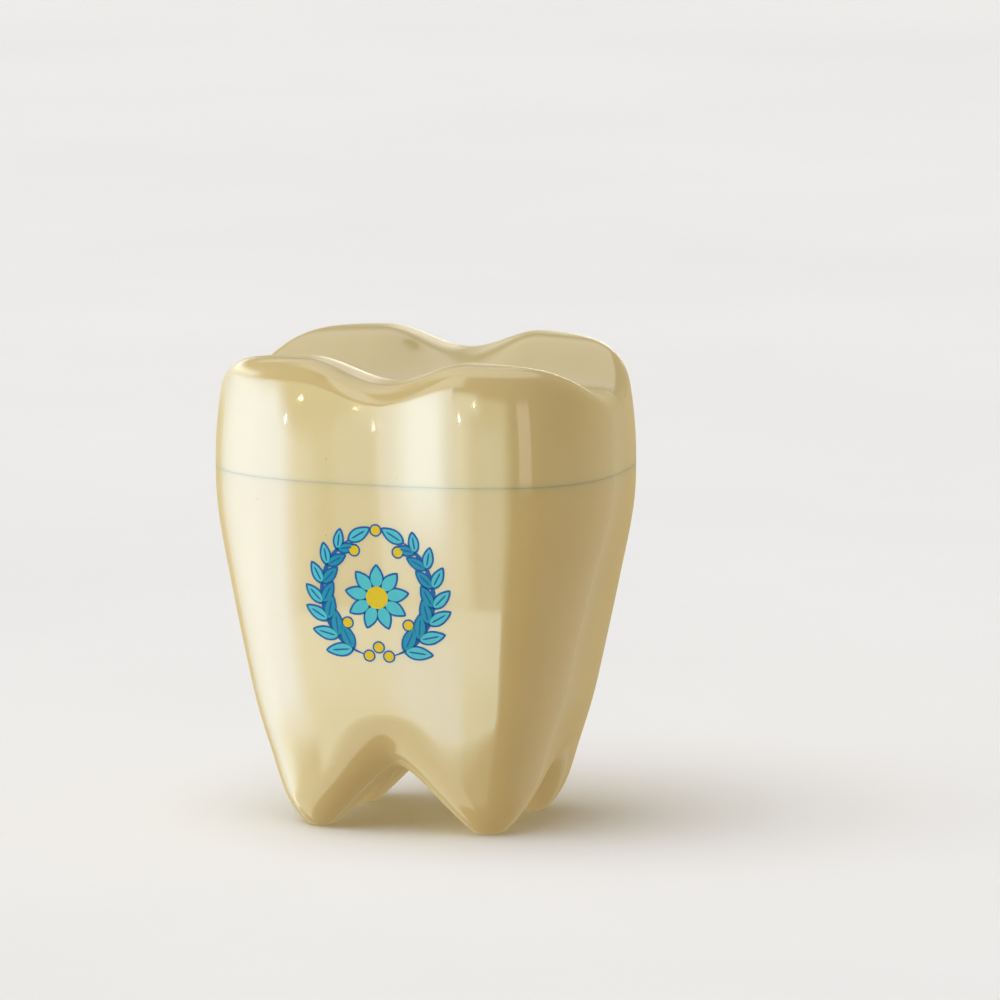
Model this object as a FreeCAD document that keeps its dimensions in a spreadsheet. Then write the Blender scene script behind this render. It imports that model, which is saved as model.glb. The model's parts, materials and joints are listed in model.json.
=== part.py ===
import FreeCAD, Part
import math
import os

# Tooth-shaped keepsake box: a crown lid hinged at the back on a hollow root
# shell, with a smooth cup hung inside the shell. Millimetres, +Z up, front
# faces -Y, origin on the resting plane under the middle of the whole box.

V = FreeCAD.Vector
doc = FreeCAD.newDocument("tooth_box")
sheet = doc.addObject("Spreadsheet::Sheet", "dims")

CELLS = [
    ("tooth_y", -3.27, "tooth axis along Y, so that the hinge barrel and the front lie evenly about the origin"),
    ("half_width", 39.22, "half width at the widest section"),
    ("half_depth", 31.0, "half depth at the widest section"),
    ("equator", 69.0, "height of the widest section"),
    ("crown_radius", 58.0, "vertical half axis of the crown flank"),
    ("seam_height", 68.0, "parting line between lid and root shell"),
    ("seam_gap", 0.06, "gap at the parting line"),
    ("wall", 2.4, "wall of the shell"),
    ("lid_wall", 2.0, "wall of the lid"),
    ("section_power", 3.2, "squareness of the plan section at the crown"),
    ("section_gain", 2.1, "how much squarer the section is at the roots"),
    ("section_gain_top", 66.0, "height where the section starts to get squarer"),
    ("section_gain_run", 48.0, "length over which it gets squarer"),
    ("section_round", 0.3, "share of a plain ellipse in the section, so that no face is quite flat"),
    ("front_sag", 10.1, "how far the front and back draw in from the widest section to the floor"),
    ("fossa_level", 80.5, "level of the chewing surface before the cusps"),
    ("cusp_rise", 10.0, "rise of the cusps over that level"),
    ("cusp_x", 16.0, "cusp place from the axis along X"),
    ("cusp_y", 21.8, "cusp place from the axis along Y"),
    ("cusp_in_x", 10.4, "cusp width towards the middle groove"),
    ("cusp_in_y", 10.5, "cusp width towards the cross groove"),
    ("cusp_out_x", 34.0, "cusp width towards the sides"),
    ("cusp_out_y", 30.0, "cusp width towards front and back"),
    ("shoulder_blend", 3.6, "blend between flank and chewing surface"),
    ("arch_front", 12.2, "height of the arch between left and right roots"),
    ("arch_front_slope", 1.08, "slope of that arch"),
    ("arch_side", 8.6, "height of the arch between front and back roots"),
    ("arch_side_slope", 1.08, "slope of that arch"),
    ("foot_blend", 8.5, "rounding of the root tips"),
    ("foot_sink", 3.0, "root tips run this far under the floor before they are cut flat"),
    ("groove_depth", 2.4, "depth of the groove that rises from each arch"),
    ("groove_top", 26.0, "height where that groove runs out"),
    ("groove_run", 22.0, "length over which that groove deepens"),
    ("ledge_height", 66.5, "ledge inside the shell that carries the cup's flange"),
    ("ledge_inset", 1.2, "shell wall left above the ledge"),
    ("flange_inset", 1.4, "outer edge of the cup's flange, from the outside of the tooth"),
    ("flange_top", 67.86, "top of the cup's flange"),
    ("collar_inset", 2.75, "outer face of the cup's collar, from the outside of the tooth"),
    ("collar_top", 72.0, "top of the collar that locates the lid"),
    ("cup_inset", 3.4, "outer face of the cup below the flange, from the outside of the tooth"),
    ("cup_wall", 1.8, "wall of the cup"),
    ("cup_floor", 18.0, "underside of the cup's floor"),
    ("cup_blend", 12.0, "rounding between the cup's wall and floor"),
    ("barrel_radius", 2.7, "hinge barrel"),
    ("barrel_stand", 3.5, "hinge axis from the back of the tooth"),
    ("hinge_height", 68.07, "hinge axis height"),
    ("lid_knuckle", 9.0, "width of the lid's middle knuckle"),
    ("knuckle_gap", 0.2, "side play between knuckles"),
    ("shell_knuckle", 6.0, "width of each knuckle on the shell"),
    ("arm_bite", 0.9, "how far an arm reaches into the wall"),
    ("arm_gap", 0.22, "arm's distance from the parting line"),
    ("heel_radius", 3.5, "tip of the heel that stops the open lid"),
    ("heel_width", 1.6, "thickness of the heel"),
    ("heel_angle", 135.0, "heel direction at rest, down from the front"),
    ("pin_radius", 1.0, "hinge pin"),
    ("pin_play", 0.05, "running clearance of the lid on the pin"),
    ("pin_seat", 0.01, "clearance of the pin in the shell's knuckles"),
]
FLANK = [(-6.0, 21.72), (0.0, 23.44), (4.0, 24.77), (8.0, 26.08), (14.0, 27.82), (21.5, 30.07),
         (30.0, 32.07), (40.0, 34.32), (50.0, 36.65), (57.0, 38.23), (62.0, 38.98), (66.0, 39.2)]
row = 1
for alias, value, note in CELLS:
    sheet.set("A%d" % row, note)
    sheet.set("B%d" % row, str(value))
    sheet.setAlias("B%d" % row, alias)
    row += 1
for i, (zz, aa) in enumerate(FLANK):
    for kind, value in (("flank_height_", zz), ("flank_width_", aa)):
        sheet.set("A%d" % row, "flank of the root shell, station %d" % (i + 1))
        sheet.set("B%d" % row, str(value))
        sheet.setAlias("B%d" % row, kind + "abcdefghijklmnop"[i])
        row += 1
doc.recompute()


def dim(alias):
    return float(sheet.get(alias))


D = dict((c[0], dim(c[0])) for c in CELLS)
FZ = [dim("flank_height_" + "abcdefghijklmnop"[i]) for i in range(len(FLANK))] + [D["equator"]]
FA = [dim("flank_width_" + "abcdefghijklmnop"[i]) for i in range(len(FLANK))] + [D["half_width"]]

# ---------------------------------------------------------------- tooth form


def bends(xs, ys):
    """Second derivatives of a smooth curve through the stations: free at its first end, level at its last."""
    n = len(xs)
    h = [xs[i + 1] - xs[i] for i in range(n - 1)]
    d = [(ys[i + 1] - ys[i]) / h[i] for i in range(n - 1)]
    low, mid, up, rhs = [0.0] * n, [1.0] * n, [0.0] * n, [0.0] * n
    for i in range(1, n - 1):
        low[i], mid[i], up[i], rhs[i] = h[i - 1], 2 * (h[i - 1] + h[i]), h[i], 6 * (d[i] - d[i - 1])
    low[-1], mid[-1], rhs[-1] = h[-1], 2 * h[-1], -6 * d[-1]
    for i in range(1, n):
        w = low[i] / mid[i - 1]
        mid[i] -= w * up[i - 1]
        rhs[i] -= w * rhs[i - 1]
    m = [0.0] * n
    m[-1] = rhs[-1] / mid[-1]
    for i in range(n - 2, -1, -1):
        m[i] = (rhs[i] - up[i] * m[i + 1]) / mid[i]
    return m


FM = bends(FZ, FA)


def flank(z):
    """Half width of the plan section at height z."""
    if z >= D["equator"]:
        r = 1 - ((z - D["equator"]) / D["crown_radius"]) ** 2
        return D["half_width"] * math.sqrt(max(r, 0.05))
    z = max(z, FZ[0])
    i = 0
    while i < len(FZ) - 2 and z >= FZ[i + 1]:
        i += 1
    w = FZ[i + 1] - FZ[i]
    p, q = (FZ[i + 1] - z) / w, (z - FZ[i]) / w
    return p * FA[i] + q * FA[i + 1] + ((p ** 3 - p) * FM[i] + (q ** 3 - q) * FM[i + 1]) * w * w / 6


def ease(t):
    t = min(max(t, 0.0), 1.0)
    return t * t * (3 - 2 * t)


def blend(a, b, k):
    h = max(k - abs(a - b), 0.0) / k
    return max(a, b) + h * h * k * 0.25


def hump(x, c, inner, outer):
    total = 0.0
    for t in (x - c, -x - c):
        s = outer if t > 0 else inner
        total += math.exp(-t * t / (2 * s * s))
    return total


def chewing(x, y):
    return D["fossa_level"] + D["cusp_rise"] * hump(x, D["cusp_x"], D["cusp_in_x"], D["cusp_out_x"]) \
        * hump(y, D["cusp_y"], D["cusp_in_y"], D["cusp_out_y"])


def underside(x, y):
    wx = D["arch_front"] - D["arch_front_slope"] * (math.sqrt(x * x + 2.6 ** 2) - 2.6)
    wy = D["arch_side"] - D["arch_side_slope"] * (math.sqrt(y * y + 2.2 ** 2) - 2.2)
    return blend(blend(wx, wy, 3.0), -D["foot_sink"], 2.5)


def tooth(x, y, z):
    """About the distance from the tooth's outer face, negative inside."""
    a = flank(z)
    if z >= D["equator"]:
        b = a * D["half_depth"] / D["half_width"]
    else:
        b = D["half_depth"] - D["front_sag"] * (1 - z / D["equator"]) ** 2
    n = D["section_power"] + D["section_gain"] * ease((D["section_gain_top"] - z) / D["section_gain_run"])
    ax, ay = abs(x) / a, abs(y) / b
    m = D["section_round"]
    g = (1 - m) * (ax ** n + ay ** n) ** (1 / n) + m * math.hypot(ax, ay)
    rho = math.sqrt(x * x + y * y) + 1e-9
    side = rho * (1 - 1 / max(g, 1e-6))
    low = D["groove_depth"] * ease((D["groove_top"] - z) / D["groove_run"])
    side += low * math.exp(-(x / 7.5) ** 2) * ease((ay - 0.45) / 0.4)
    side += 0.48 * low * math.exp(-(y / 6.5) ** 2) * ease((ax - 0.45) / 0.4)
    r = blend(side, (z - chewing(x, y)) * 0.95, D["shoulder_blend"])
    return blend(r, (underside(x, y) - z) * 0.8, D["foot_blend"])


def cup_form(x, y, z):
    """About the distance from the cup's outer face, negative inside."""
    return blend(tooth(x, y, z) + D["cup_inset"], D["cup_floor"] - z, D["cup_blend"])


# ------------------------------------------------------------ face making

NU = 48


def meet(form, level, cz, u, phi):
    """Distance from (0, 0, cz) along a ray to the face where form = level."""
    sx, sy, sz = math.sin(phi) * math.cos(u), math.sin(phi) * math.sin(u), math.cos(phi)
    lo, hi = 1.0, 3.0
    while form(sx * hi, sy * hi, cz + sz * hi) < level and hi < 120:
        lo, hi = hi, hi + 2.0
    for _ in range(36):
        t = 0.5 * (lo + hi)
        if form(sx * t, sy * t, cz + sz * t) < level:
            lo = t
        else:
            hi = t
    t = 0.5 * (lo + hi)
    return (math.hypot(sx, sy) * t, cz + sz * t)


def meridian(form, level, cz, u, pole, end_rho, nv):
    """nv points (rho, z), evenly spaced from the rim to a small ring at the pole."""
    pts = []
    steps = 110
    for i in range(steps + 1):
        phi = math.pi / 2 + (pole - math.pi / 2) * (i / float(steps)) * 0.9995
        p = meet(form, level, cz, u, phi)
        if p[0] < end_rho and pts:
            q = pts[-1]
            f = (q[0] - end_rho) / (q[0] - p[0])
            pts.append((end_rho, q[1] + (p[1] - q[1]) * f))
            break
        pts.append(p)
    run = [0.0]
    for i in range(1, len(pts)):
        run.append(run[-1] + math.hypot(pts[i][0] - pts[i - 1][0], pts[i][1] - pts[i - 1][1]))
    out = []
    j = 0
    for k in range(nv):
        s = run[-1] * k / float(nv - 1)
        while j < len(run) - 2 and run[j + 1] < s:
            j += 1
        f = (s - run[j]) / (run[j + 1] - run[j])
        out.append((pts[j][0] + (pts[j + 1][0] - pts[j][0]) * f, pts[j][1] + (pts[j + 1][1] - pts[j][1]) * f))
    return out


def rings(form, level, cz, pole, end_rho, nv):
    """Closed rings of points from the rim to the pole; the form is even in X and Y."""
    quarter = NU // 4
    lines = [meridian(form, level, cz, 2 * math.pi * i / NU, pole, end_rho, nv) for i in range(quarter + 1)]
    level_end = sum(l[-1][1] for l in lines) / len(lines)
    table = []
    for k in range(nv):
        ring = []
        for i in range(NU):
            q = i % (NU // 2)
            q = q if q <= quarter else NU // 2 - q
            rho, z = lines[q][k]
            if k == 0:
                z = cz
            if k == nv - 1:
                rho, z = end_rho, level_end
            u = 2 * math.pi * i / NU
            ring.append(V(rho * math.cos(u), rho * math.sin(u) + D["tooth_y"], z))
        table.append(ring)
    return table


def closed_curve(points):
    c = Part.BSplineCurve()
    n = len(points)
    c.interpolate(Points=points, PeriodicFlag=True, Parameters=[i / float(n) for i in range(n + 1)])
    return c


def skin(table):
    """Smooth face through closed rings, closed round the axis."""
    nv = len(table)
    cu = [closed_curve(r) for r in table]
    npole = cu[0].NbPoles
    par = [0.0]
    for k in range(1, nv):
        par.append(par[-1] + sum((table[k][i] - table[k - 1][i]).Length for i in range(NU)) / NU)
    par = [p / par[-1] for p in par]
    columns = []
    cv = None
    for j in range(1, npole + 1):
        cv = Part.BSplineCurve()
        cv.interpolate(Points=[c.getPole(j) for c in cu], Parameters=par)
        columns.append(cv.getPoles())
    s = Part.BSplineSurface()
    s.buildFromPolesMultsKnots(columns, cu[0].getMultiplicities(), cv.getMultiplicities(),
                               cu[0].getKnots(), cv.getKnots(), True, False, 3, 3)
    return s.toShape()


def level_edge(face, z):
    for e in face.Edges:
        b = e.BoundBox
        if b.ZLength < 1e-5 and abs(b.ZMin - z) < 1e-4:
            return e
    raise RuntimeError("no edge at height %g" % z)


def cap(face, z):
    return Part.Face(Part.Wire([level_edge(face, z)]))


def close(faces):
    shell = Part.makeShell(faces)
    shell.sewShape()
    solid = Part.makeSolid(shell)
    if solid.Volume < 0:
        solid.reverse()
    return solid


def hollow(form, level_out, level_in, cz, pole, nv):
    """Thin-walled half of the tooth, open at its rim."""
    t_out = rings(form, level_out, cz, pole, 1.3, nv)
    t_in = rings(form, level_in, cz, pole, 1.3, nv)
    f_out, f_in = skin(t_out), skin(t_in)
    rim = Part.makeFace([Part.Wire([level_edge(f_out, cz)]), Part.Wire([level_edge(f_in, cz)])],
                        "Part::FaceMakerBullseye")
    return close([f_out, f_in, rim, cap(f_out, t_out[-1][0].z), cap(f_in, t_in[-1][0].z)])


def full(form, level, cz, pole, nv):
    """Solid half of the form, closed by a flat face at its rim."""
    t = rings(form, level, cz, pole, 1.3, nv)
    f = skin(t)
    return close([f, cap(f, cz), cap(f, t[-1][0].z)])


def outline(form, level, z):
    """Closed plan curve of the form at height z."""
    pts = []
    for i in range(NU):
        u = 2 * math.pi * i / NU
        rho = meet(form, level, z, u, math.pi / 2)[0]
        pts.append(V(rho * math.cos(u), rho * math.sin(u) + D["tooth_y"], z))
    return closed_curve(pts).toShape()


def prism(form, level, z_form, z_low, z_high):
    e = outline(form, level, z_form)
    e.translate(V(0, 0, z_low - z_form))
    return Part.Face(Part.Wire([e])).extrude(V(0, 0, z_high - z_low))


def feature(name, shape):
    o = doc.addObject("Part::Feature", name)
    o.Shape = shape
    return o


def bound(kind, name, **expr):
    o = doc.addObject(kind, name)
    for k, e in expr.items():
        o.setExpression(k.replace("__", "."), e)
    return o


def place(o, x=None, y=None, z=None):
    for key, e in (("x", x), ("y", y), ("z", z)):
        if e is not None:
            o.setExpression("Placement.Base." + key, e)
    return o


def boolean(kind, name, base, tool):
    o = doc.addObject(kind, name)
    o.Base = base
    o.Tool = tool
    return o


HINGE_Y = "dims.tooth_y + dims.half_depth + dims.barrel_stand"
WALL_Y = "dims.tooth_y + dims.half_depth - dims.arm_bite"


def barrel(name, radius, width, x0):
    """Cylinder along X on the hinge axis, from x0 on."""
    c = bound("Part::Cylinder", name, Radius=radius, Height=width)
    c.Placement = FreeCAD.Placement(V(0, 0, 0), FreeCAD.Rotation(V(0, 1, 0), 90))
    return place(c, x=x0, y=HINGE_Y, z="dims.hinge_height")


# ------------------------------------------------------------- root shell

DOWN, UP = math.pi, 0.0
shell_rim = D["seam_height"] - D["seam_gap"] / 2
shell_blank = feature("shell_blank", hollow(tooth, 0.0, -D["wall"], shell_rim, DOWN, 24))
ledge_cut = feature("ledge_cut", prism(tooth, -D["ledge_inset"], 67.2, D["ledge_height"], D["seam_height"] + 3))
floor_cut = bound("Part::Box", "floor_cut", Length="dims.half_width * 3", Width="dims.half_depth * 3", Height="20")
place(floor_cut, x="-dims.half_width * 1.5", y="dims.tooth_y - dims.half_depth * 1.5", z="-20")
shell_a = boolean("Part::Cut", "shell_ledged", shell_blank, ledge_cut)
shell_b = boolean("Part::Cut", "shell_footed", shell_a, floor_cut)

prev = shell_b
for tag, x0 in (("left", "-dims.lid_knuckle / 2 - dims.knuckle_gap - dims.shell_knuckle"),
                ("right", "dims.lid_knuckle / 2 + dims.knuckle_gap")):
    k = barrel("shell_barrel_" + tag, "dims.barrel_radius", "dims.shell_knuckle", x0)
    arm = bound("Part::Box", "shell_arm_" + tag, Length="dims.shell_knuckle",
                Width="dims.barrel_stand + dims.arm_bite",
                Height="dims.hinge_height - (dims.hinge_height - dims.barrel_radius) - "
                       "(dims.hinge_height - dims.seam_height + dims.arm_gap)")
    place(arm, x=x0, y=WALL_Y, z="dims.hinge_height - dims.barrel_radius")
    prev = boolean("Part::Fuse", "shell_with_arm_" + tag, prev, arm)
    prev = boolean("Part::Fuse", "shell_with_barrel_" + tag, prev, k)
seat = barrel("shell_pin_hole", "dims.pin_radius + dims.pin_seat",
              "dims.lid_knuckle + 2 * dims.shell_knuckle + 10", "-dims.lid_knuckle / 2 - dims.shell_knuckle - 5")
root_shell = boolean("Part::Cut", "root_shell", prev, seat)

# --------------------------------------------------------------- crown lid

lid_rim = D["seam_height"] + D["seam_gap"] / 2
lid_blank = feature("lid_blank", hollow(tooth, 0.0, -D["lid_wall"], lid_rim, UP, 20))
lid_x0 = "-dims.lid_knuckle / 2"
lid_barrel = barrel("lid_barrel", "dims.barrel_radius", "dims.lid_knuckle", lid_x0)
lid_arm = bound("Part::Box", "lid_arm", Length="dims.lid_knuckle", Width="dims.barrel_stand + dims.arm_bite",
                Height="dims.hinge_height + dims.barrel_radius - dims.seam_height - dims.arm_gap")
place(lid_arm, x=lid_x0, y=WALL_Y, z="dims.seam_height + dims.arm_gap")
# the heel points down and back at rest, and meets the shell's wall when the lid is open
lid_heel = bound("Part::Box", "lid_heel", Length="dims.lid_knuckle", Width="dims.heel_radius", Height="dims.heel_width")
turn = FreeCAD.Rotation(V(1, 0, 0), 180 + D["heel_angle"])
ydir = turn.multVec(V(0, 1, 0))
zdir = turn.multVec(V(0, 0, 1))
lid_heel.Placement = FreeCAD.Placement(
    V(-D["lid_knuckle"] / 2,
      D["tooth_y"] + D["half_depth"] + D["barrel_stand"] - zdir.y * D["heel_width"] / 2,
      D["hinge_height"] - zdir.z * D["heel_width"] / 2), turn)
lid_b = boolean("Part::Fuse", "lid_with_arm", lid_blank, lid_arm)
lid_c = boolean("Part::Fuse", "lid_with_barrel", lid_b, lid_barrel)
lid_d = boolean("Part::Fuse", "lid_with_heel", lid_c, lid_heel)
lid_hole = barrel("lid_pin_hole", "dims.pin_radius + dims.pin_play", "dims.lid_knuckle + 2", "-dims.lid_knuckle / 2 - 1")
crown_lid = boolean("Part::Cut", "crown_lid", lid_d, lid_hole)

# --------------------------------------------------------------- inner cup

bowl = feature("cup_bowl", full(cup_form, 0.0, D["ledge_height"] + 0.04, DOWN, 20))
flange = feature("cup_flange", prism(tooth, -D["flange_inset"], 67.2, D["ledge_height"] + 0.04, D["flange_top"]))
collar = feature("cup_collar", prism(tooth, -D["collar_inset"], 69.5, D["flange_top"], D["collar_top"]))
room = feature("cup_room", full(cup_form, -D["cup_wall"], D["collar_top"] + 1.5, DOWN, 20))
cup_a = boolean("Part::Fuse", "cup_with_flange", bowl, flange)
cup_b = boolean("Part::Fuse", "cup_with_collar", cup_a, collar)
inner_cup = boolean("Part::Cut", "inner_cup", cup_b, room)

# --------------------------------------------------------------- hinge pin

hinge_pin = barrel("hinge_pin", "dims.pin_radius",
                   "dims.lid_knuckle + 2 * dims.knuckle_gap + 2 * dims.shell_knuckle",
                   "-dims.lid_knuckle / 2 - dims.knuckle_gap - dims.shell_knuckle")

doc.recompute()

NODES = {"root_shell": root_shell, "crown_lid": crown_lid, "inner_cup": inner_cup, "hinge_pin": hinge_pin}
for o in doc.Objects:
    if "Invalid" in o.State or "Error" in o.State:
        raise RuntimeError("failed object: %s %s" % (o.Name, o.State))
for name, o in NODES.items():
    o.Label = name
    s = o.Shape
    if s.isNull() or not s.isValid() or len(s.Solids) != 1 or s.Volume <= 0:
        raise RuntimeError("bad shape: %s valid %s solids %d" % (name, s.isValid(), len(s.Solids)))
os.makedirs("parts", exist_ok=True)
for name, o in NODES.items():
    o.Shape.exportStep("parts/%s.step" % name)
    b = o.Shape.BoundBox
    print(name, "volume %.1f" % o.Shape.Volume, "faces", len(o.Shape.Faces),
          "box", [round(v, 2) for v in (b.XMin, b.YMin, b.ZMin, b.XMax, b.YMax, b.ZMax)])
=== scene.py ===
import json
import math
import bmesh
import bpy
import numpy as np
from mathutils import Matrix, Vector

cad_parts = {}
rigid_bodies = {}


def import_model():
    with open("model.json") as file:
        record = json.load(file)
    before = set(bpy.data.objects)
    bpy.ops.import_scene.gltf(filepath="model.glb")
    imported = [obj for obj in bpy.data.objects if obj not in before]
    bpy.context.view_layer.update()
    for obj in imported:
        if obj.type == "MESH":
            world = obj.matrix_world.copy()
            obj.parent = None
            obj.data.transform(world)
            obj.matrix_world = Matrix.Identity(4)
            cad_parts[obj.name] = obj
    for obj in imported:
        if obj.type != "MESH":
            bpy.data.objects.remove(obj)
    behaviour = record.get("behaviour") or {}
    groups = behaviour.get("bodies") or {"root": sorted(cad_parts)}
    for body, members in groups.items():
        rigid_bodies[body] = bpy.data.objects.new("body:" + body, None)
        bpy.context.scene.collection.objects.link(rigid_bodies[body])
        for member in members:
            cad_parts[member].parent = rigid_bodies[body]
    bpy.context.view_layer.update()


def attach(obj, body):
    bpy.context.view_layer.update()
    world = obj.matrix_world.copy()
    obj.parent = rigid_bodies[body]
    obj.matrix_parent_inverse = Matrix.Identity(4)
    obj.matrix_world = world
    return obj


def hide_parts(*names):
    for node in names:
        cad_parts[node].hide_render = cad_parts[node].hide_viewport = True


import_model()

MM = 0.001

# ------------------------------------------------------------------ sizes (mm)
TOOTH_Y = -3.27
HALF_W, HALF_D = 39.22, 31.0
EQUATOR, CROWN_R = 69.0, 58.0
SEAM, GAP = 68.0, 0.010
WALL, LID_WALL = 2.4, 2.0
HINGE_Y, HINGE_Z = TOOTH_Y + HALF_D + 3.5, 68.07
FLANK = np.array([(-6.0, 21.72), (0.0, 23.44), (4.0, 24.77), (8.0, 26.08), (14.0, 27.82), (21.5, 30.07),
                  (30.0, 32.07), (40.0, 34.32), (50.0, 36.65), (57.0, 38.23), (62.0, 38.98), (66.0, 39.2),
                  (69.0, 39.22)])


# ------------------------------------------------------------- the tooth's form
def spline(xs, ys):
    """Second derivatives of a smooth curve: free at its first end, level at its last."""
    n = len(xs)
    h = np.diff(xs)
    a = np.zeros((n, n))
    r = np.zeros(n)
    a[0, 0] = 1.0
    for i in range(1, n - 1):
        a[i, i - 1], a[i, i], a[i, i + 1] = h[i - 1], 2 * (h[i - 1] + h[i]), h[i]
        r[i] = 6 * ((ys[i + 1] - ys[i]) / h[i] - (ys[i] - ys[i - 1]) / h[i - 1])
    a[-1, -2], a[-1, -1] = h[-1], 2 * h[-1]
    r[-1] = 6 * (0.0 - (ys[-1] - ys[-2]) / h[-1])
    return np.linalg.solve(a, r)


FLANK_M = spline(FLANK[:, 0], FLANK[:, 1])


def flank(z):
    up = HALF_W * np.sqrt(np.clip(1 - ((z - EQUATOR) / CROWN_R) ** 2, 0.05, 1))
    xs, ys = FLANK[:, 0], FLANK[:, 1]
    q = np.clip(z, xs[0], xs[-1])
    i = np.clip(np.searchsorted(xs, q, side="right") - 1, 0, len(xs) - 2)
    h = xs[i + 1] - xs[i]
    a, b = (xs[i + 1] - q) / h, (q - xs[i]) / h
    low = a * ys[i] + b * ys[i + 1] + ((a ** 3 - a) * FLANK_M[i] + (b ** 3 - b) * FLANK_M[i + 1]) * h * h / 6
    return np.where(z >= EQUATOR, up, low)


def ease(t):
    t = np.clip(t, 0.0, 1.0)
    return t * t * (3 - 2 * t)


def blend(a, b, k):
    h = np.maximum(k - np.abs(a - b), 0.0) / k
    return np.maximum(a, b) + h * h * k * 0.25


def hump(x, c, inner, outer):
    total = 0.0
    for t in (x - c, -x - c):
        s = np.where(t > 0, outer, inner)
        total = total + np.exp(-t * t / (2 * s * s))
    return total


def chewing(x, y):
    return 80.5 + 10.0 * hump(x, 16.0, 10.4, 34.0) * hump(y, 21.8, 10.5, 30.0)


def underside(x, y):
    wx = 12.2 - 1.08 * (np.sqrt(x * x + 2.6 ** 2) - 2.6)
    wy = 8.6 - 1.08 * (np.sqrt(y * y + 2.2 ** 2) - 2.2)
    w = blend(wx, wy, 3.0)
    return blend(w, np.full_like(w, -3.0), 2.5)


def tooth(x, y, z):
    """About the distance from the outer face in mm, negative inside; y from the tooth's own axis."""
    a = flank(z)
    b = np.where(z >= EQUATOR, a * HALF_D / HALF_W, HALF_D - 10.1 * np.clip(1 - z / EQUATOR, 0.0, None) ** 2)
    n = 3.2 + 2.1 * ease((66.0 - z) / 48.0)
    ax, ay = np.abs(x) / a, np.abs(y) / b
    g = 0.7 * (ax ** n + ay ** n) ** (1 / n) + 0.3 * np.hypot(ax, ay)
    rho = np.sqrt(x * x + y * y) + 1e-9
    side = rho * (1 - 1 / np.maximum(g, 1e-6))
    low = 2.4 * ease((26.0 - z) / 22.0)
    side = side + low * np.exp(-(x / 7.5) ** 2) * ease((ay - 0.45) / 0.4)
    side = side + 0.48 * low * np.exp(-(y / 6.5) ** 2) * ease((ax - 0.45) / 0.4)
    r = blend(side, (z - chewing(x, y)) * 0.95, 3.6)
    return blend(r, (underside(x, y) - z) * 0.8, 8.5)


def cup_form(x, y, z):
    return blend(tooth(x, y, z) + 3.4, 18.0 - z, 12.0)


# ---------------------------------------------------------------- ring meshes
NU = 192
QUARTER = NU // 4
ANG = 2 * np.pi * np.arange(NU) / NU
FOLD = np.array([(i % (NU // 2)) if (i % (NU // 2)) <= QUARTER else NU // 2 - (i % (NU // 2)) for i in range(NU)])


def meet(form, level, cz, u, phi):
    """Where rays from (0, 0, cz) meet the face form = level: (rho, z)."""
    sx, sy, sz = np.sin(phi) * np.cos(u), np.sin(phi) * np.sin(u), np.cos(phi)
    lo = np.full(u.shape, 1.0)
    hi = np.full(u.shape, 1.0)
    live = np.ones(u.shape, bool)
    for _ in range(60):
        hi = np.where(live, hi + 2.0, hi)
        live = live & (form(sx * hi, sy * hi, cz + sz * hi) < level)
        lo = np.where(live, hi, lo)
        if not live.any():
            break
    for _ in range(42):
        t = 0.5 * (lo + hi)
        inside = form(sx * t, sy * t, cz + sz * t) < level
        lo, hi = np.where(inside, t, lo), np.where(inside, hi, t)
    t = 0.5 * (lo + hi)
    return np.hypot(sx, sy) * t, cz + sz * t


def spread(table):
    """Quarter-turn table of (rows, QUARTER+1, 2) to full rings (rows, NU, 3)."""
    full = table[:, FOLD, :]
    out = np.empty((table.shape[0], NU, 3))
    out[..., 0] = full[..., 0] * np.cos(ANG)
    out[..., 1] = full[..., 0] * np.sin(ANG) + TOOTH_Y
    out[..., 2] = full[..., 1]
    return out


def dome(form, level, cz, up, nv):
    """Rings from the plane z = cz to the pole, evenly spaced along each meridian."""
    u = 2 * np.pi * np.arange(QUARTER + 1) / NU
    pole = 0.0 if up else math.pi
    steps = 220
    phi = np.linspace(math.pi / 2, pole, steps + 1)
    phi[-1] = pole + (0.002 if up else -0.002)
    U, PH = np.meshgrid(u, phi)
    rho, z = meet(form, level, cz, U, PH)
    seg = np.hypot(np.diff(rho, axis=0), np.diff(z, axis=0))
    run = np.vstack([np.zeros((1, len(u))), np.cumsum(seg, axis=0)])
    want = np.empty((nv, len(u)))
    for j in range(len(u)):
        want[:, j] = np.interp(np.linspace(0, 1, nv) * run[-1, j], run[:, j], phi)
    rho, z = meet(form, level, cz, np.broadcast_to(u, want.shape).copy(), want)
    return spread(np.stack([rho, z], -1))


def ring(form, level, z):
    u = 2 * np.pi * np.arange(QUARTER + 1) / NU
    rho, zz = meet(form, level, z, u, np.full(u.shape, math.pi / 2))
    return spread(np.stack([rho, zz], -1)[None])[0]


def shelf(form, pairs):
    return np.stack([ring(form, level, z) for z, level in pairs])


def arc(z, level, r, start, end, n, sz, sl):
    """(z, level) pairs round a bevel of radius r; z = z + sz r sin, level = level + sl r cos."""
    out = []
    for k in range(n + 1):
        a = math.radians(start + (end - start) * k / n)
        out.append((z + sz * r * math.sin(a), level + sl * r * math.cos(a)))
    return out


def ring_mesh(name, rows, tiny=True):
    """Closed mesh from stacked rings; the first and last ring are closed at a pole."""
    nv = len(rows)
    verts = (rows.reshape(-1, 3) * MM).tolist()
    faces = []
    for i in range(nv - 1):
        for j in range(NU):
            k = (j + 1) % NU
            faces.append((i * NU + j, i * NU + k, (i + 1) * NU + k, (i + 1) * NU + j))
    a = len(verts)
    verts.append(tuple((rows[0].mean(0) * MM)))
    verts.append(tuple((rows[-1].mean(0) * MM)))
    for j in range(NU):
        k = (j + 1) % NU
        faces.append((a, k, j))
        faces.append((a + 1, (nv - 1) * NU + j, (nv - 1) * NU + k))
    return mesh_object(name, verts, faces)


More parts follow.
